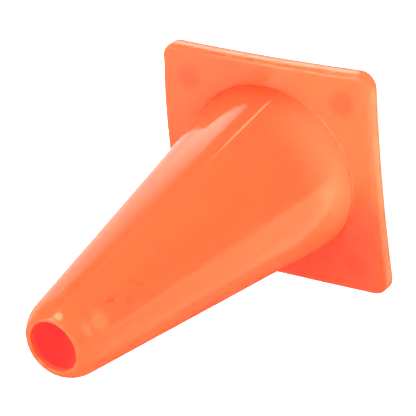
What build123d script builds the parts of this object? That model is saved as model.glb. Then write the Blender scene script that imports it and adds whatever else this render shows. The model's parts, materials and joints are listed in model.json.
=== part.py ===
from build123d import *

import math
import os

# A small traffic cone: one hollow soft-vinyl moulding, open at the tip and underneath, with a
# square base turned down at its rim, standing on four rubber feet pressed in from below.
# Millimetres, +Z up. The origin is on the floor, on the cone's axis, midway between the feet.

# Whole object
total_height = 305.0  # floor to the lip of the open tip

# Square base
base_side = 192.0  # outside of the rim
base_corner_radius = 12.5  # outside, seen from above
rim_height = 12.5  # rim's lower edge to the plate's top
rim_wall = 4.0
rim_edge_radius = 4.4  # plate's top into the rim's outside
plate_thickness = 3.5

# Tapered wall
cone_foot_radius = 73.2  # outside, where it rises from the plate
cone_tip_radius = 29.1  # outside, carried on straight to the height of the lip
cone_wall = 2.8  # square to the wall
crease_radius = 1.5  # outside, in the corner between wall and plate
mouth_edge_radius = 3.0  # inside, where the wall turns into the plate's underside

# Open tip
crown_rise = 7.4  # height above the lip of the dome that the shoulder is cut from
shoulder_radius = 26.6  # outside rounding from the wall to the lip
inner_shoulder_radius = 6.0
lip_width = 9.4  # carried-on wall to the bore, square to the axis
bore_land = 5.0  # height of the bore
lip_edge_radius = 1.4  # both edges of the lip
lip_edge_share = 0.45  # most of the lip's flat that one rounded edge may take
match_tolerance = 0.01  # how near an edge must lie to count as the one looked for

# Rubber feet and the sockets that hold them
foot_standout = 1.5  # the rim's lower edge to the floor
pad_radius = 12.5
pad_thickness = 3.5
pad_sole_edge_radius = 1.2
plug_radius = 7.0
plug_side_clearance = 0.05
plug_end_clearance = 0.5
socket_wall = 3.0
foot_names = ["foot_front_right", "foot_front_left", "foot_rear_left", "foot_rear_right"]
foot_sides = [(1, -1), (-1, -1), (-1, 1), (1, 1)]  # side of the axis in X and in Y

# Heights and places that follow from the sizes above
rim_bottom = foot_standout
plate_top = rim_bottom + rim_height
plate_underside = plate_top - plate_thickness
crown_height = total_height + crown_rise
taper = math.atan2(cone_foot_radius - cone_tip_radius, total_height - plate_top)
bore_radius = cone_tip_radius - lip_width
socket_radius = plug_radius + plug_side_clearance
rim_inner_corner_radius = base_corner_radius - rim_wall


def wall_radius(height, depth=0.0):
    """Radius of the straight wall at a height, measured a given depth below its outer face."""
    outside = cone_foot_radius - (height - plate_top) * math.tan(taper)
    return outside - depth / math.cos(taper)


def side_outline(low, high, depth, round_radius):
    """Half outline under the wall's face: a straight side, rounded where it meets the top."""
    outline = make_face(
        Polyline(
            (0, low),
            (wall_radius(low, depth), low),
            (wall_radius(high, depth), high),
            (0, high),
            close=True,
        )
    )
    room = wall_radius(high, depth) / math.tan((math.pi / 2 - taper) / 2)
    upper_corner = outline.vertices().group_by(Axis.Y)[-1].sort_by(Axis.X)[-1]
    return fillet(upper_corner, min(round_radius, room))


def wall_section():
    """Half section of the wall, the shoulder and the rounded lip round the open tip."""
    land_bottom = total_height - bore_land
    dome = side_outline(plate_underside, crown_height, 0.0, shoulder_radius)
    above_lip = Pos(0, crown_height) * Rectangle(base_side, 2 * crown_rise)
    hollow = side_outline(plate_underside, land_bottom, cone_wall, inner_shoulder_radius)
    bore = Pos(0, total_height) * Rectangle(2 * bore_radius, 2 * bore_land)
    section = dome - above_lip - hollow - bore
    lip_corners = section.vertices().group_by(Axis.Y)[-1].sort_by(Axis.X)
    lip_flat = lip_corners[-1].X - lip_corners[0].X
    return fillet(lip_corners, min(lip_edge_radius, lip_edge_share * lip_flat))


def base_shell():
    """The square plate with its rim turned down, hollow underneath."""
    block = Pos(0, 0, rim_bottom) * extrude(
        RectangleRounded(base_side, base_side, base_corner_radius), rim_height
    )
    block = fillet(block.faces().sort_by(Axis.Z)[-1].edges(), rim_edge_radius)
    pocket_side = base_side - 2 * rim_wall
    pocket = Pos(0, 0, rim_bottom) * extrude(
        RectangleRounded(pocket_side, pocket_side, rim_inner_corner_radius),
        plate_underside - rim_bottom,
    )
    return block - pocket


def foot_places():
    """Centres of the feet: on the diagonals, midway between the wall and the rim's corner."""
    corner_reach = (base_side / 2 - rim_wall) * math.sqrt(2)
    corner_reach -= rim_inner_corner_radius * (math.sqrt(2) - 1)
    along = (cone_foot_radius + corner_reach) / 2 / math.sqrt(2)
    return [(along * x_side, along * y_side) for x_side, y_side in foot_sides]


def circle_at(solid, height, radius):
    """The edges of one circle about the axis."""
    level = solid.edges().filter_by(GeomType.CIRCLE).filter_by_position(
        Axis.Z, height - match_tolerance, height + match_tolerance
    )
    return [edge for edge in level if abs(edge.radius - radius) < match_tolerance]


def cone_moulding():
    """Base, wall and open tip as they leave the mould, with a socket under each corner."""
    mouth_radius = wall_radius(plate_underside, cone_wall)
    mouth = Pos(0, 0, rim_bottom) * Cylinder(
        mouth_radius, rim_height, align=(Align.CENTER, Align.CENTER, Align.MIN)
    )
    body = base_shell() - mouth + revolve(Plane.XZ * wall_section(), Axis.Z)

    socket_depth = plate_underside - pad_thickness
    for x, y in foot_places():
        boss = Cylinder(
            socket_radius + socket_wall,
            socket_depth,
            align=(Align.CENTER, Align.CENTER, Align.MIN),
        )
        socket = Cylinder(
            socket_radius, socket_depth, align=(Align.CENTER, Align.CENTER, Align.MIN)
        )
        body += Pos(x, y, pad_thickness) * (boss - socket)

    body = fillet(circle_at(body, plate_top, cone_foot_radius), crease_radius)
    return fillet(circle_at(body, plate_underside, mouth_radius), mouth_edge_radius)


def rubber_foot(x, y):
    """A flat round pad with a plug on top that presses into the socket above it."""
    pad = Cylinder(pad_radius, pad_thickness, align=(Align.CENTER, Align.CENTER, Align.MIN))
    pad = fillet(pad.edges().sort_by(Axis.Z)[0], pad_sole_edge_radius)
    plug_length = plate_underside - pad_thickness - plug_end_clearance
    plug = Pos(0, 0, pad_thickness) * Cylinder(
        plug_radius, plug_length, align=(Align.CENTER, Align.CENTER, Align.MIN)
    )
    return Pos(x, y, 0) * (pad + plug)


pieces = {"cone_moulding": cone_moulding()}
for name, (x, y) in zip(foot_names, foot_places()):
    pieces[name] = rubber_foot(x, y)

os.makedirs("parts", exist_ok=True)
for name, piece in pieces.items():
    export_step(piece, f"parts/{name}.step")
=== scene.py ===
import json
import math

import bmesh
import bpy
import numpy as np
from mathutils import Matrix, Vector, noise


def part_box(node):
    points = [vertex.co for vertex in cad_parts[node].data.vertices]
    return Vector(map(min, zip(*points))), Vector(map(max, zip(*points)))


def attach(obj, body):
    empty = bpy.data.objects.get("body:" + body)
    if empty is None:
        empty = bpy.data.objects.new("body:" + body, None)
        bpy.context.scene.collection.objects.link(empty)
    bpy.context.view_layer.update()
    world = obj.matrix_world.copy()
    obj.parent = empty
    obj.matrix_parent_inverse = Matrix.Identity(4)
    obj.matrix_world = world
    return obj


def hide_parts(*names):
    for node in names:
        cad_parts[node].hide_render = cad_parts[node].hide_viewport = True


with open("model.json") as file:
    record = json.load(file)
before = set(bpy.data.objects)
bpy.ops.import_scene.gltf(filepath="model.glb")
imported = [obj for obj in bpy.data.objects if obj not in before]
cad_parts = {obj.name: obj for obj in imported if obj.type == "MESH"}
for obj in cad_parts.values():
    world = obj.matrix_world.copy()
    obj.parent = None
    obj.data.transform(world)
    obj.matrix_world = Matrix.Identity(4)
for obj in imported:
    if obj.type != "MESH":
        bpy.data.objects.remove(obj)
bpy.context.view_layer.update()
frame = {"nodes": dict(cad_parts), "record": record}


# ---------------------------------------------------------------------------------------------
# Studio. A white table under an even white glow, with one large soft lamp high up, a weaker one
# low on the right and a small one low in front. Gloss sees bright panels instead of the lamps.
# ---------------------------------------------------------------------------------------------
camera_place = Vector((0.94642, 0.83178, 1.35584))
camera_right = Vector((0.82599, -0.10946, -0.55295))
camera_up = Vector((-0.17887, 0.87937, -0.44127))
camera_back = Vector((0.53455, 0.46340, 0.70677))
sensor_width = 36.0
lens_length = 200.3772
farthest_seen = 20.0

camera_data = bpy.data.cameras.new("camera")
camera_data.sensor_width = sensor_width
camera_data.lens = lens_length
camera_data.clip_end = farthest_seen
camera = bpy.data.objects.new("camera", camera_data)
bpy.context.collection.objects.link(camera)
turn = Matrix((camera_right, camera_up, camera_back)).transposed()
camera.matrix_world = Matrix.Translation(camera_place) @ turn.to_4x4()
bpy.context.scene.camera = camera
bpy.context.scene.view_settings.view_transform = "Standard"

table_half_width = 6.0
table_drop = 0.0002  # under the soles, so the two flat faces never share a level
table_white = (0.9, 0.9, 0.9, 1)
table_roughness = 0.9
table_own_light = 0.8
floor_mesh = bpy.data.meshes.new("floor")
table = bmesh.new()
bmesh.ops.create_grid(table, x_segments=1, y_segments=1, size=table_half_width)
table.to_mesh(floor_mesh)
table.free()
floor = bpy.data.objects.new("floor", floor_mesh)
bpy.context.collection.objects.link(floor)
floor.location.z = -table_drop
floor_paint = bpy.data.materials.new("white_table")
floor_paint.use_nodes = True
paint = floor_paint.node_tree.nodes["Principled BSDF"]
paint.inputs["Base Color"].default_value = table_white
paint.inputs["Roughness"].default_value = table_roughness
paint.inputs["Emission Color"].default_value = (1, 1, 1, 1)
paint.inputs["Emission Strength"].default_value = table_own_light
floor_mesh.materials.append(floor_paint)
floor.visible_glossy = False


lamp_aim = Vector((0, 0, 0.1))
lamp_distance = 1.6


def soft_lamp(name, direction, size, power):
    """A square soft lamp, in watts, aimed at the cone; gloss sees the panels instead."""
    data = bpy.data.lights.new(name, "AREA")
    data.size = size
    data.energy = power
    lamp = bpy.data.objects.new(name, data)
    lamp.location = lamp_aim + direction.normalized() * lamp_distance
    lamp.rotation_euler = direction.to_track_quat("Z", "Y").to_euler()
    lamp.visible_glossy = False
    lamp.visible_camera = False
    bpy.context.collection.objects.link(lamp)


def compass(azimuth, height):
    """A direction given as degrees round from +X and degrees above the table."""
    flat = math.cos(math.radians(height))
    turn_angle = math.radians(azimuth)
    return Vector(
        (flat * math.cos(turn_angle), flat * math.sin(turn_angle), math.sin(math.radians(height)))
    )


soft_lamp("key_lamp", compass(99, 69), size=0.8, power=46)
soft_lamp("fill_lamp", compass(22, 2), size=0.7, power=15)
soft_lamp("low_lamp", compass(-55, 1), size=0.35, power=29)

room = bpy.data.worlds.new("room")
bpy.context.scene.world = room
room.use_nodes = True
room_nodes = room.node_tree.nodes
room_links = room.node_tree.links
glow = room_nodes["Background"]
looking = room_nodes.new("ShaderNodeTexCoord")


def joined(operation, values):
    """Joins shares of the room's light, plain numbers or sockets, by one kind of arithmetic."""
    total = values[0]
    for value in values[1:]:
        step = room_nodes.new("ShaderNodeMath")
        step.operation = operation
        for socket, part in zip(step.inputs, (total, value)):
            if isinstance(part, bpy.types.NodeSocket):
                room_links.new(part, socket)
            else:
                socket.default_value = part
        total = step.outputs[0]
    return total


def overlap(*shares):
    return joined("MULTIPLY", shares)


def together(*shares):
    return joined("ADD", shares)


def along(direction):
    """How far the looked-at part of the room lies along a direction, from -1 to 1."""
    dot = room_nodes.new("ShaderNodeVectorMath")
    dot.operation = "DOT_PRODUCT"
    room_links.new(looking.outputs["Generated"], dot.inputs[0])
    dot.inputs[1].default_value = direction
    return dot.outputs["Value"]


def ramp(value, start, end):
    """0 below start, 1 past end, and smooth between; start may be the larger."""
    step = room_nodes.new("ShaderNodeMapRange")
    step.interpolation_type = "SMOOTHSTEP"
    room_links.new(value, step.inputs["Value"])
    step.inputs["From Min"].default_value = start
    step.inputs["From Max"].default_value = end
    return step.outputs["Result"]


def from_camera(right, up, back):
    """A direction in the room, given by how far it goes to the camera's right, up and back."""
    return right * camera_right + up * camera_up + back * camera_back


def panel(right, up, back, edge, core, brightness):
    """A round panel of light in one direction; edge and core are cosines from its middle."""
    middle = from_camera(right, up, back).normalized()
    return overlap(ramp(along(middle), edge, core), brightness)


sideways = along(camera_right)
upwards = along(camera_up)
backwards = along(camera_back)

# A tall white backdrop behind the cone's left flank, brighter in a strip along its near edge.
strip_side = along(from_camera(-0.917, -0.063, 0.394))
backdrop = overlap(
    ramp(backwards, -0.36, -0.52), ramp(sideways, 0.10, -0.10), ramp(upwards, -0.15, 0.02)
)
strip_brightness = 2.3
strip = overlap(
    ramp(strip_side, 0.012, -0.022),
    ramp(upwards, 0.45, 0.84),
    ramp(backwards, -0.365, -0.40),
    ramp(sideways, -0.08, -0.20),
    strip_brightness,
)
# The white table seen low on the right flank, brighter along its far edge.
table_edge = along(from_camera(-0.163, -0.845, 0.510))
table_brightness = 0.7
edge_brightness = 0.9
table_glow = overlap(
    ramp(upwards, -0.03, -0.14),
    ramp(sideways, 0.58, 0.76),
    together(overlap(ramp(table_edge, 0.03, -0.03), edge_brightness), table_brightness),
)
key_panel = panel(-0.49, 0.62, 0.61, edge=0.970, core=0.993, brightness=9.5)
fill_panel = panel(0.71, 0.15, 0.69, edge=0.95, core=0.99, brightness=3.2)
near_wall = panel(-0.78, -0.63, 0.01, edge=0.80, core=0.95, brightness=0.5)
# A bright slit that the rear rim catches, and a small lamp for its rounded edge.
rim_panel = panel(-0.035, 0.790, -0.612, edge=0.9936, core=0.9981, brightness=2.3)
edge_lamp = panel(-0.885, 0.02, 0.475, edge=0.988, core=0.996, brightness=9.0)
dim_surround = 0.06
reflected = together(
    backdrop,
    table_glow,
    rim_panel,
    edge_lamp,
    near_wall,
    strip,
    key_panel,
    fill_panel,
    dim_surround,
)

# The table is lit by the cone standing over it, the lamps are a little yellow, and so, more
# weakly, is the backdrop.
backdrop_warmth = 0.35
warm_white = (1, 0.88, 0.5, 1)
even_glow = 0.9
warm_part = together(table_glow, key_panel, overlap(backdrop, backdrop_warmth), fill_panel)
warm_part = joined("MINIMUM", (warm_part, 1.0))
path = room_nodes.new("ShaderNodeLightPath")


def room_choice(kind, share, plain, changed):
    """Goes from a plain value or colour of the room to a changed one, by a share."""
    choice = room_nodes.new("ShaderNodeMix")
    choice.data_type = kind
    for socket, value in (("Factor", share), ("A", plain), ("B", changed)):
        if isinstance(value, bpy.types.NodeSocket):
            room_links.new(value, choice.inputs[socket])
        else:
            choice.inputs[socket].default_value = value
    return choice.outputs["Result"]


for_gloss = path.outputs["Is Glossy Ray"]
white = (1, 1, 1, 1)
tint = room_choice("RGBA", warm_part, white, warm_white)
room_links.new(room_choice("RGBA", for_gloss, white, tint), glow.inputs["Color"])
room_links.new(room_choice("FLOAT", for_gloss, even_glow, reflected), glow.inputs["Strength"])


# ---------------------------------------------------------------------------------------------
# Cone. One injection moulding in soft, glossy, slightly translucent orange vinyl: base, wall
# and open tip in one hollow shell, with a fine raised line down each side where the two halves
# of the mould met.
# ---------------------------------------------------------------------------------------------
low_corner, high_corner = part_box("cone_moulding")
half_side = high_corner.x
rim_bottom = low_corner.z
lip_height = high_corner.z
mounts = {mount["name"]: mount for mount in frame["record"]["mounts"]}
bore_radius = mounts["tip_bore"]["dims"]["r_mm"] / 1000

rim_height = 0.0125
rim_wall = 0.004
rim_round = 0.0044
base_corner = 0.0125
plate_thickness = 0.0035
foot_circle = 0.0732
tip_circle = 0.0291
wall_thickness = 0.0028
crease = 0.0003
mouth_round = 0.003
crown_rise = 0.0074
shoulder_round = 0.0266
inner_shoulder_round = 0.006
bore_land = 0.005
lip_round = 0.0014

plate_top = rim_bottom + rim_height
plate_underside = plate_top - plate_thickness
taper = math.atan2(foot_circle - tip_circle, lip_height - plate_top)

columns = 432
parting_lines = (math.radians(78.2), math.radians(258.2))


def wall_radius(height, depth=0.0):
    """Radius of the straight wall at a height, a given depth under its outer face."""
    return foot_circle - (height - plate_top) * math.tan(taper) - depth / math.cos(taper)


def square_reach(angle, side, corner):
    """Distance from the axis to a square with rounded corners, in one direction."""
    across = abs(math.cos(angle))
    up = abs(math.sin(angle))
    reach = side / max(across, up)
    centre = side - corner
    if min(across, up) * reach <= centre:
        return reach
    middle = centre * (across + up)
    return middle + math.sqrt(middle * middle - 2 * centre * centre + corner * corner)


def arc(centre_r, centre_z, radius, start, end, steps):
    """Points of a round stretch of the section, from one angle to another, in degrees."""
    points = []
    for step in range(steps + 1):
        angle = math.radians(start + (end - start) * step / steps)
        points.append((centre_r + radius * math.cos(angle), centre_z + radius * math.sin(angle)))
    return points


def stretch(start, end, steps):
    """Points inside a straight stretch of the section, both ends left out."""
    return [
        (
            start[0] + (end[0] - start[0]) * step / steps,
            start[1] + (end[1] - start[1]) * step / steps,
        )
        for step in range(1, steps)
    ]


lean = math.degrees(taper)
crown_height = lip_height + crown_rise
shoulder_z = crown_height - shoulder_round
shoulder_r = wall_radius(crown_height) - shoulder_round * math.tan((math.pi / 2 - taper) / 2)
lip_outer_turn = math.degrees(math.asin((lip_height - shoulder_z) / shoulder_round))
lip_outer_r = shoulder_r + shoulder_round * math.cos(math.radians(lip_outer_turn))
land_bottom = lip_height - bore_land
inner_round_z = land_bottom - inner_shoulder_round
inner_round_r = wall_radius(land_bottom, wall_thickness) - inner_shoulder_round * math.tan(
    (math.pi / 2 - taper) / 2
)

# Section of the wall: from the crease up its outer face, over the lip and down the bore to the
# mouth underneath. Each point is a distance from the axis and a height.
crease_r = foot_circle + crease * math.tan(math.radians(90 - lean) / 2)
crease_z = plate_top + crease
outer = arc(crease_r, crease_z, crease, 270, 180 + lean, 4)
shoulder = arc(shoulder_r, shoulder_z, shoulder_round, lean, lip_outer_turn - 3, 22)
outer += stretch(outer[-1], shoulder[0], 62) + shoulder
lip = arc(lip_outer_r - lip_round, lip_height - lip_round, lip_round, 50, 90, 4)
lip += arc(bore_radius + lip_round, lip_height - lip_round, lip_round, 90, 180, 8)
bore_edge = 0.0003
outer += lip + [
    (bore_radius, lip_height - 0.6 * bore_land),
    (bore_radius, land_bottom + bore_edge),
]
inner = [(bore_radius + bore_edge, land_bottom)]
inner += arc(inner_round_r, inner_round_z, inner_shoulder_round, 80, lean, 8)
mouth_r = wall_radius(plate_underside, wall_thickness)
mouth = arc(
    mouth_r + mouth_round * math.tan(math.radians(90 - lean) / 2),
    plate_underside + mouth_round,
    mouth_round,
    180 + lean,
    270,
    6,
)
inner += stretch(inner[-1], mouth[0], 22) + mouth

# Section of the rim: down its inner face, under its lower edge and up over its rounded top.
# Each point is a distance in from the rim's outside and a height.
rim_inner_points = [
    (rim_wall + 0.0012, plate_underside),
    (rim_wall + 0.0004, plate_underside - 0.0004),
    (rim_wall, plate_underside - 0.0012),
    (rim_wall, rim_bottom + 0.0008),
]
rim_section = rim_inner_points + [
    (rim_wall - 0.0008, rim_bottom),
    (0.0010, rim_bottom),
    (0.0003, rim_bottom + 0.0003),
    (0.0, rim_bottom + 0.0010),
    (0.0, rim_bottom + 0.0040),
]
rim_section += [
    (rim_round - r, z)
    for r, z in arc(0, plate_top - rim_round, rim_round, 0, 90, 10)
]

shell = bmesh.new()
inside_layer = shell.verts.layers.float.new("inside")
edge_layer = shell.verts.layers.float.new("edge")
seam_layer = shell.verts.layers.float.new("seam")
bmesh.ops.create_circle(shell, cap_ends=False, segments=columns, radius=1.0)

# Columns stand closer together at the square's corners and beside the two parting lines.
corner_crowding, corner_spread = 2.5, 0.09
line_crowding, line_spread = 7.0, 0.035
fine = np.linspace(0, 2 * math.pi, 20001)
crowding = np.ones_like(fine)
for quarter in range(4):
    corner_angle = math.pi / 4 + quarter * math.pi / 2
    crowding += corner_crowding * np.exp(-(((fine - corner_angle) / corner_spread) ** 2))
for line in parting_lines:
    crowding += line_crowding * np.exp(-(((fine - line) / line_spread) ** 2))
filled = np.concatenate([[0], np.cumsum((crowding[1:] + crowding[:-1]) / 2)])
filled *= 2 * math.pi / filled[-1]
for vert in shell.verts:
    even_angle = math.atan2(vert.co.y, vert.co.x) % (2 * math.pi)
    angle = float(np.interp(even_angle, filled, fine))
    vert.co = (math.cos(angle), math.sin(angle), 0)

edges = list(shell.edges)


def settle(verts, place, inside, edge):
    """Moves one loop of points to its station and paints it as inner face or rubbed edge."""
    for vert in verts:
        angle = math.atan2(vert.co.y, vert.co.x)
        reach, height = place(angle)
        vert.co = (reach * math.cos(angle), reach * math.sin(angle), height)
        vert[inside_layer] = inside
        vert[edge_layer] = edge


def next_level(edges, station):
    """Draws the open edge of the shell on to its next station."""
    made = bmesh.ops.extrude_edge_only(shell, edges=edges)["geom"]
    settle([item for item in made if isinstance(item, bmesh.types.BMVert)], *station)
    return [item for item in made if isinstance(item, bmesh.types.BMEdge)]


def flat_station(circle, inset, share, height):
    """A level face: a share of the way from a circle out to a square inside the rim."""

    def place(angle):
        edge = square_reach(angle, half_side - inset, base_corner - inset)
        return circle + (edge - circle) * share, height

    return place


least_corner = 0.004


def rim_station(inset, height):
    """Along the rim, whose inner face keeps at least the smallest corner radius."""
    corner = max(base_corner - inset, least_corner)
    return lambda angle: (square_reach(angle, half_side - inset, corner), height)


def round_station(radius, height):
    """A circle round the axis."""
    return lambda angle: (radius, height)


# Every station with its paint: 1 on an inner face, and 1 on an edge that hands and floors rub.
underside_steps = 8
plate_steps = 16
bore_points = 2
lip_start = -len(lip) - bore_points
stations = [(round_station(r, z), 0.0, 0.0) for r, z in outer[:lip_start]]
stations += [(round_station(r, z), 0.0, 1.0) for r, z in outer[lip_start:-bore_points]]
stations += [(round_station(r, z), 1.0, 0.0) for r, z in outer[-bore_points:] + inner]
for step in range(1, underside_steps):
    place = flat_station(mouth[-1][0], rim_wall, step / underside_steps, plate_underside)
    stations.append((place, 1.0, 0.0))
for number, (inset, height) in enumerate(rim_section):
    inside = float(number < len(rim_inner_points))
    stations.append((rim_station(inset, height), inside, 1.0 - inside))
for step in range(1, plate_steps):
    place = flat_station(crease_r, rim_round, 1 - step / plate_steps, plate_top)
    stations.append((place, 0.0, 0.0))

first_edges = edges
settle(shell.verts, *stations[0])
for station in stations[1:]:
    edges = next_level(edges, station)
bmesh.ops.bridge_loops(shell, edges=first_edges + edges)
bmesh.ops.recalc_face_normals(shell, faces=shell.faces)

# Soft vinyl is never quite true: the base stands on its corners and springs up a little at the
# middle of each side, the wall has shallow waves, and the mould's joint leaves a fine ridge
# that dies away upwards.
spring = {"right": 0.0030, "rear": 0.0026, "left": 0.0075, "front": 0.0005}
spring_reach = 0.85
wave_height = 0.00016
waves_per_metre = (16, 16, 9)
true_foot = 0.004  # height of the wall's foot that stays true
true_tip = 0.03  # and of its tip
ridge_height = 0.0006
ridge_spread = 0.0006
ridge_wobble = 0.0006
wobbles_per_metre = 30
ridge_start = 0.026
ridge_rise = 0.008
ridge_fade = 0.095
ridge_least = 0.02


def spring_up(x, y):
    """Lift of a point of the base, greatest at the middle of each side, none at its corners."""
    across = x / half_side
    up = y / half_side
    along_sides = max(0, 1 - (up / spring_reach) ** 2)
    along_ends = max(0, 1 - (across / spring_reach) ** 2)
    lift = (spring["right"] if x > 0 else spring["left"]) * across**4 * along_sides
    return lift + (spring["rear"] if y > 0 else spring["front"]) * up**4 * along_ends


moves = []
for vert in shell.verts:
    x, y, z = vert.co
    radius = math.hypot(x, y)
    angle = math.atan2(y, x) % (2 * math.pi)
    if radius > crease_r:
        moves.append((vert, Vector((0, 0, spring_up(x, y)))))
        continue
    if z < plate_top + true_foot or z > lip_height - true_tip:
        continue
    outwards = Vector((x / radius, y / radius, 0))
    wave = noise.noise(vert.co * Vector(waves_per_metre)) * wave_height
    ridge = 0.0
    for line in parting_lines:
        wobble = ridge_wobble * noise.noise(Vector((z * wobbles_per_metre, line, 0)))
        off_line = (angle - line) * radius + wobble
        if vert[inside_layer] < 0.5 and abs(off_line) < 5 * ridge_spread:
            begins = min(1, max(0, (z - ridge_start) / ridge_rise))
            strength = begins * max(ridge_least, 1 - (z - ridge_start) / ridge_fade)
            ridge += strength * math.exp(-((off_line / ridge_spread) ** 2))
    vert[seam_layer] = ridge
    moves.append((vert, outwards * (wave + ridge * ridge_height)))
for vert, move in moves:
    vert.co += move

# Sockets for the feet: short tubes that hang from the plate's underside at each corner.
foot_nodes = sorted(node for node in frame["nodes"] if node.startswith("foot_"))
pad_thickness = 0.0035
socket_inner = 0.00705
socket_outer = 0.01005
socket_edge = 0.0004
socket_flare = 0.0008
socket_sides = 48
foot_centres = {}
for node in foot_nodes:
    low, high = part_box(node)
    foot_centres[node] = Vector(((low.x + high.x) / 2, (low.y + high.y) / 2, 0))
for centre in foot_centres.values():
    ring = [
        (socket_inner, plate_underside + socket_edge),
        (socket_inner, pad_thickness + socket_edge),
        (socket_inner + socket_edge, pad_thickness),
        (socket_outer - socket_edge, pad_thickness),
        (socket_outer, pad_thickness + socket_edge),
        (socket_outer, plate_underside - socket_flare),
        (socket_outer + socket_flare, plate_underside + socket_edge),
    ]
    verts = [shell.verts.new((centre.x + r, centre.y, z)) for r, z in ring]
    lines = [shell.edges.new((verts[i], verts[(i + 1) % len(verts)])) for i in range(len(verts))]
    bmesh.ops.spin(
        shell,
        geom=verts + lines,
        cent=centre,
        axis=(0, 0, 1),
        angle=2 * math.pi,
        steps=socket_sides,
        use_merge=True,
    )
bmesh.ops.recalc_face_normals(shell, faces=shell.faces)
for face in shell.faces:
    face.smooth = True

cone_mesh = bpy.data.meshes.new("orange_cone")
shell.to_mesh(cone_mesh)
shell.free()
cone = bpy.data.objects.new("orange_cone", cone_mesh)
bpy.context.collection.objects.link(cone)
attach(cone, "root")
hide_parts("cone_moulding")


class Recipe:
    """A shader node group with short ways to add and join its steps."""

    def __init__(self, name, inputs, outputs):
        self.tree = bpy.data.node_groups.new(name, "ShaderNodeTree")
        for label, kind, start in inputs:
            socket = self.tree.interface.new_socket(label, in_out="INPUT", socket_type=kind)
            socket.default_value = start
        for label, kind in outputs:
            self.tree.interface.new_socket(label, in_out="OUTPUT", socket_type=kind)
        self.given = self.tree.nodes.new("NodeGroupInput").outputs
        self.result = self.tree.nodes.new("NodeGroupOutput").inputs
        split = self.tree.nodes.new("ShaderNodeSeparateXYZ")
        self.put(split.inputs["Vector"], self.given["Place"])
        self.place = split.outputs

    def put(self, socket, value):
        if isinstance(value, bpy.types.NodeSocket):
            self.tree.links.new(value, socket)
        else:
            socket.default_value = value

    def maths(self, operation, *values):
        made = self.tree.nodes.new("ShaderNodeMath")
        made.operation = operation
        for socket, value in zip(made.inputs, values):
            self.put(socket, value)
        return made.outputs[0]

    def times(self, first, *others):
        """The product of several shares or lengths."""
        for other in others:
            first = self.maths("MULTIPLY", first, other)
        return first

    def towards(self, across, up):
        """How far a point lies from the axis in one level direction."""
        return self.maths("ADD", self.times(self.place["X"], across), self.times(self.place["Y"], up))

    def hypot(self, across, up):
        """The distance that lies so far across and so far up."""
        return self.maths(
            "SQRT", self.maths("ADD", self.times(across, across), self.times(up, up))
        )

    def smooth(self, value, start, end):
        """0 before start, 1 past end, and smooth between; start may be the larger."""
        made = self.tree.nodes.new("ShaderNodeMapRange")
        made.interpolation_type = "SMOOTHSTEP"
        self.put(made.inputs["Value"], value)
        made.inputs["From Min"].default_value = start
        made.inputs["From Max"].default_value = end
        return made.outputs["Result"]

    def vector(self, operation, value, output=0):
        """One vector step on the place in the piece."""
        made = self.tree.nodes.new("ShaderNodeVectorMath")
        made.operation = operation
        self.put(made.inputs[0], self.given["Place"])
        made.inputs[1].default_value = value
        return made.outputs[output]

    def noise(self, scale, detail, stretch=(1, 1, 1)):
        """Cloudy noise fixed to the piece; a small stretch draws it out along that axis."""
        made = self.tree.nodes.new("ShaderNodeTexNoise")
        self.put(made.inputs["Vector"], self.vector("MULTIPLY", stretch))
        made.inputs["Scale"].default_value = scale
        made.inputs["Detail"].default_value = detail
        return made.outputs[0]

    def tint(self, under, share, over, strength=1.0):
        """Lays one colour over another by a share of the surface and a strength."""
        made = self.tree.nodes.new("ShaderNodeMix")
        made.data_type = "RGBA"
        self.put(made.inputs["Factor"], share if strength == 1.0 else self.times(share, strength))
        self.put(made.inputs["A"], under)
        self.put(made.inputs["B"], over)
        return made.outputs["Result"]


skin_recipe = Recipe(
    "moulded_vinyl",
    [
        ("Place", "NodeSocketVector", (0, 0, 0)),
        ("Inside", "NodeSocketFloat", 0.0),
        ("Edge", "NodeSocketFloat", 0.0),
        ("Seam", "NodeSocketFloat", 0.0),
        ("Vinyl", "NodeSocketColor", (0.97, 0.091, 0.0285, 1)),
        # Paler vinyl, used as painted light.
        ("Painted lit vinyl", "NodeSocketColor", (0.99, 0.19, 0.08, 1)),
        # Deeper vinyl, for random tone and for painted shade.
        ("Deep vinyl and painted shade", "NodeSocketColor", (0.95, 0.062, 0.018, 1)),
        # Painted shade over each foot.
        ("Painted shade over a foot", "NodeSocketColor", (0.93, 0.036, 0.012, 1)),
        ("Scuff", "NodeSocketColor", (0.62, 0.040, 0.020, 1)),
        # Worn edges, and a painted highlight beside the tip.
        ("Worn edge and painted highlight", "NodeSocketColor", (0.98, 0.18, 0.075, 1)),
        # Painted highlight along the seam.
        ("Painted seam highlight", "NodeSocketColor", (1.0, 0.42, 0.26, 1)),
        # Painted glow of the inner faces.
        ("Painted inner glow", "NodeSocketColor", (0.30, 0.030, 0.033, 1)),
    ],
    [
        ("Color", "NodeSocketColor"),
        ("Roughness", "NodeSocketFloat"),
        ("Height", "NodeSocketFloat"),
        ("Painted glow", "NodeSocketColor"),
    ],
)
given = skin_recipe.given
up_wall = skin_recipe.place["Z"]
distance_out = skin_recipe.hypot(skin_recipe.place["X"], skin_recipe.place["Y"])

# Pigment: broad clouds, and long faint streaks where the melt ran up the wall.
clouds = skin_recipe.smooth(skin_recipe.noise(scale=14, detail=3), 0.30, 0.70)
streaks = skin_recipe.noise(scale=60, detail=2, stretch=(1, 1, 0.08))
streaks = skin_recipe.smooth(streaks, 0.35, 0.65)
deeper = skin_recipe.tint(given["Vinyl"], 0.5, given["Deep vinyl and painted shade"])
colour = skin_recipe.tint(given["Vinyl"], clouds, deeper, 0.22)
colour = skin_recipe.tint(colour, streaks, deeper, 0.14)
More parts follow.
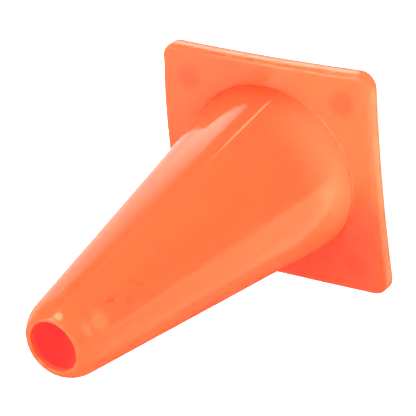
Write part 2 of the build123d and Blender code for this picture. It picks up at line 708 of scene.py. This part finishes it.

# The wall is painted paler round its foot on the lit side, a painted pool of light, and
# deeper in colour round the foot's shaded side, a painted shade.
round_foot = skin_recipe.smooth(up_wall, 0.070, 0.012)
on_wall = skin_recipe.smooth(distance_out, 0.0765, 0.0745)
lit_side = skin_recipe.smooth(skin_recipe.towards(0.90, 0.44), 0.030, 0.072)
painted_foot_light = skin_recipe.times(round_foot, lit_side, on_wall)
colour = skin_recipe.tint(colour, painted_foot_light, given["Painted lit vinyl"])
# Painted shade round the foot's shaded side.
shaded_side = skin_recipe.smooth(skin_recipe.towards(-0.36, 0.93), 0.020, 0.075)
close_in = skin_recipe.smooth(distance_out, 0.092, 0.074)
painted_foot_shade = skin_recipe.times(round_foot, shaded_side, close_in)
colour = skin_recipe.tint(colour, painted_foot_shade, given["Deep vinyl and painted shade"], 0.75)

# The plate is painted a little paler than the wall, more so on the lit side, as painted light,
# and its low front corner is painted deeper in colour, as the cone's painted shadow.
on_plate = skin_recipe.smooth(distance_out, 0.0745, 0.0765)
plate_painted_light = skin_recipe.maths("MULTIPLY_ADD", lit_side, 0.20, 0.20)
colour = skin_recipe.tint(colour, on_plate, given["Painted lit vinyl"], plate_painted_light)
# Painted shadow of the cone on the plate's front corner.
painted_corner_shadow = skin_recipe.smooth(skin_recipe.towards(0.62, -1.0), 0.030, 0.095)
painted_corner_shadow = skin_recipe.times(painted_corner_shadow, on_plate)
colour = skin_recipe.tint(colour, painted_corner_shadow, given["Deep vinyl and painted shade"], 0.85)

# A darker round is painted over each foot: painted shade where the foot blocks light through the
# plate.
foot_offset = max(centre.x for centre in foot_centres.values())
from_foot = skin_recipe.hypot(
    skin_recipe.maths(
        "SUBTRACT", skin_recipe.maths("ABSOLUTE", skin_recipe.place["X"]), foot_offset
    ),
    skin_recipe.maths(
        "SUBTRACT", skin_recipe.maths("ABSOLUTE", skin_recipe.place["Y"]), foot_offset
    ),
)
shade_over_foot = skin_recipe.smooth(from_foot, 0.0150, 0.006)
colour = skin_recipe.tint(colour, shade_over_foot, given["Painted shade over a foot"], 0.36)

# Handling: small dark scuffs on the front of the wall below the tip, fewer elsewhere.
scuffs = skin_recipe.noise(scale=230, detail=4, stretch=(1, 1, 0.5))
scuffs = skin_recipe.smooth(scuffs, 0.56, 0.66)
near_tip = skin_recipe.smooth(up_wall, 0.225, 0.250)
below_lip = skin_recipe.smooth(up_wall, 0.280, 0.262)
front_side = skin_recipe.maths("DIVIDE", skin_recipe.towards(0.83, 0.56), distance_out)
front_side = skin_recipe.smooth(front_side, 0.965, 0.995)
scuffs_here = skin_recipe.times(near_tip, below_lip, front_side)
scuffed = skin_recipe.times(scuffs, skin_recipe.maths("ADD", scuffs_here, 0.06))
colour = skin_recipe.tint(colour, scuffed, given["Scuff"], 0.8)

# Rubbed edges, and one pale patch beside the tip that is a painted highlight.
rub = skin_recipe.smooth(skin_recipe.noise(scale=90, detail=4), 0.36, 0.68)
rubbed = skin_recipe.times(given["Edge"], rub)
colour = skin_recipe.tint(colour, rubbed, given["Worn edge and painted highlight"], 0.08)
highlight_place = (0.0282, 0.0163, 0.283)
painted_tip_highlight = skin_recipe.vector("DISTANCE", highlight_place, output="Value")
painted_tip_highlight = skin_recipe.smooth(painted_tip_highlight, 0.011, 0.003)
colour = skin_recipe.tint(colour, painted_tip_highlight, given["Worn edge and painted highlight"], 0.45)

# The ridge along the mould's joint is painted paler than the wall: a painted highlight.
colour = skin_recipe.tint(colour, given["Seam"], given["Painted seam highlight"], 0.75)

# Polish: mirror-like mould finish in broad hazy patches, duller inside and wherever it is rubbed.
haze = skin_recipe.smooth(skin_recipe.noise(scale=35, detail=4), 0.35, 0.75)
roughness = skin_recipe.maths("MULTIPLY_ADD", haze, 0.07, 0.10)
roughness = skin_recipe.maths("MULTIPLY_ADD", rubbed, 0.08, roughness)
roughness = skin_recipe.maths("MULTIPLY_ADD", scuffed, 0.15, roughness)
roughness = skin_recipe.maths("MULTIPLY_ADD", given["Inside"], 0.30, roughness)
grain_height = 0.00001
ripple_height = 0.00008
scuff_height = -0.000005
ripple = skin_recipe.noise(scale=70, detail=2, stretch=(1, 1, 0.3))
relief_height = skin_recipe.times(skin_recipe.noise(scale=900, detail=2), grain_height)
relief_height = skin_recipe.maths("MULTIPLY_ADD", ripple, ripple_height, relief_height)
relief_height = skin_recipe.maths("MULTIPLY_ADD", scuffed, scuff_height, relief_height)
black = (0, 0, 0, 1)
# The inner faces glow faintly red: painted light standing in for light through the vinyl.
painted_glow = skin_recipe.tint(black, given["Inside"], given["Painted inner glow"])
skin_recipe.put(skin_recipe.result["Color"], colour)
skin_recipe.put(skin_recipe.result["Roughness"], roughness)
skin_recipe.put(skin_recipe.result["Height"], relief_height)
skin_recipe.put(skin_recipe.result["Painted glow"], painted_glow)


def finish(name, recipe, relief_strength):
    """A material that wears a recipe all over, with its relief as a bump."""
    material = bpy.data.materials.new(name)
    material.use_nodes = True
    tree = material.node_tree
    shader = tree.nodes["Principled BSDF"]
    group = tree.nodes.new("ShaderNodeGroup")
    group.node_tree = recipe.tree
    where = tree.nodes.new("ShaderNodeTexCoord")
    relief = tree.nodes.new("ShaderNodeBump")
    relief.inputs["Strength"].default_value = relief_strength
    relief.inputs["Distance"].default_value = 1.0
    tree.links.new(where.outputs["Object"], group.inputs["Place"])
    tree.links.new(group.outputs["Height"], relief.inputs["Height"])
    tree.links.new(relief.outputs["Normal"], shader.inputs["Normal"])
    tree.links.new(group.outputs["Color"], shader.inputs["Base Color"])
    tree.links.new(group.outputs["Roughness"], shader.inputs["Roughness"])
    return material, shader, group


vinyl, skin, moulded = finish("orange_vinyl", skin_recipe, relief_strength=0.5)
for label, layer in (("Inside", "inside"), ("Edge", "edge"), ("Seam", "seam")):
    painted = vinyl.node_tree.nodes.new("ShaderNodeAttribute")
    painted.attribute_name = layer
    vinyl.node_tree.links.new(painted.outputs["Fac"], moulded.inputs[label])
# The painted glow of the inner faces feeds the emission.
vinyl.node_tree.links.new(moulded.outputs["Painted glow"], skin.inputs["Emission Color"])
skin.inputs["Emission Strength"].default_value = 1.0
# Light sinks in a few millimetres, red the deepest.
skin.inputs["Subsurface Weight"].default_value = 1.0
skin.inputs["Subsurface Radius"].default_value = (1.0, 0.12, 0.06)
skin.inputs["Subsurface Scale"].default_value = 0.006
cone_mesh.materials.append(vinyl)


# ---------------------------------------------------------------------------------------------
# Feet. Four round buttons moulded in black rubber, each with a grooved sole and a plug that
# presses up into its socket under a corner of the base.
# ---------------------------------------------------------------------------------------------
pad_radius = 0.0125
pad_edge = 0.0004
sole_edge = 0.0012
plug_radius = 0.007
plug_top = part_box(foot_nodes[0])[1].z
plug_edge = 0.0006
groove_width = 0.0012
groove_slope = 0.0003
groove_depth = 0.0005
button_sides = 64
sharp_angle = math.radians(40)
rubber_recipe = Recipe(
    "moulded_rubber",
    [
        ("Place", "NodeSocketVector", (0, 0, 0)),
        ("Rubber", "NodeSocketColor", (0.022, 0.021, 0.022, 1)),
        ("Dust", "NodeSocketColor", (0.12, 0.11, 0.10, 1)),
    ],
    [
        ("Color", "NodeSocketColor"),
        ("Roughness", "NodeSocketFloat"),
        ("Height", "NodeSocketFloat"),
    ],
)
given = rubber_recipe.given

# Floor dust gathers on the sole and round its edge, in patches.
on_sole = rubber_recipe.smooth(rubber_recipe.place["Z"], 0.0022, 0.0002)
patches = rubber_recipe.smooth(rubber_recipe.noise(scale=220, detail=5), 0.40, 0.66)
dust = rubber_recipe.times(on_sole, patches)
dust = rubber_recipe.maths("MULTIPLY_ADD", dust, 0.55, 0.04)
colour = rubber_recipe.tint(given["Rubber"], dust, given["Dust"])

# Dull mould skin with a cloudy bloom, duller under the dust, and a fine grain.
bloom = rubber_recipe.noise(scale=60, detail=3)
roughness = rubber_recipe.maths("MULTIPLY_ADD", bloom, 0.16, 0.52)
roughness = rubber_recipe.maths("MULTIPLY_ADD", dust, 0.25, roughness)
rubber_grain_height = 0.00006
rubber_grain = rubber_recipe.times(rubber_recipe.noise(scale=1400, detail=3), rubber_grain_height)
rubber_recipe.put(rubber_recipe.result["Color"], colour)
rubber_recipe.put(rubber_recipe.result["Roughness"], roughness)
rubber_recipe.put(rubber_recipe.result["Height"], rubber_grain)
rubber = finish("foot_rubber", rubber_recipe, relief_strength=0.6)[0]

# Half section of a button, each point a distance from its middle and a height: three grooves in
# the sole, then the pad's edge and the plug.
section = [(0, 0.0)]
for groove_start in (0.003, 0.006, 0.009):
    groove_end = groove_start + groove_width
    section += [
        (groove_start, 0.0),
        (groove_start + groove_slope, groove_depth),
        (groove_end - groove_slope, groove_depth),
        (groove_end, 0.0),
    ]
section += [
    (pad_radius - sole_edge, 0.0),
    (pad_radius - pad_edge, pad_edge),
    (pad_radius, sole_edge),
    (pad_radius, pad_thickness - pad_edge),
    (pad_radius - pad_edge, pad_thickness),
    (plug_radius, pad_thickness),
    (plug_radius, plug_top - plug_edge),
    (plug_radius - plug_edge, plug_top),
    (0, plug_top),
]
for node, centre in foot_centres.items():
    button = bmesh.new()
    verts = [button.verts.new((centre.x + r, centre.y, z)) for r, z in section]
    lines = [button.edges.new(pair) for pair in zip(verts, verts[1:])]
    bmesh.ops.spin(
        button,
        geom=verts + lines,
        cent=centre,
        axis=(0, 0, 1),
        angle=2 * math.pi,
        steps=button_sides,
        use_merge=True,
    )
    bmesh.ops.remove_doubles(button, verts=button.verts, dist=0.000001)
    bmesh.ops.recalc_face_normals(button, faces=button.faces)
    foot_mesh = bpy.data.meshes.new(node + "_rubber")
    button.to_mesh(foot_mesh)
    button.free()
    foot_mesh.materials.append(rubber)
    for polygon in foot_mesh.polygons:
        polygon.use_smooth = True
    foot_mesh.set_sharp_from_angle(angle=sharp_angle)
    foot = bpy.data.objects.new(node + "_rubber", foot_mesh)
    bpy.context.collection.objects.link(foot)
    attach(foot, "root")
    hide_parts(node)
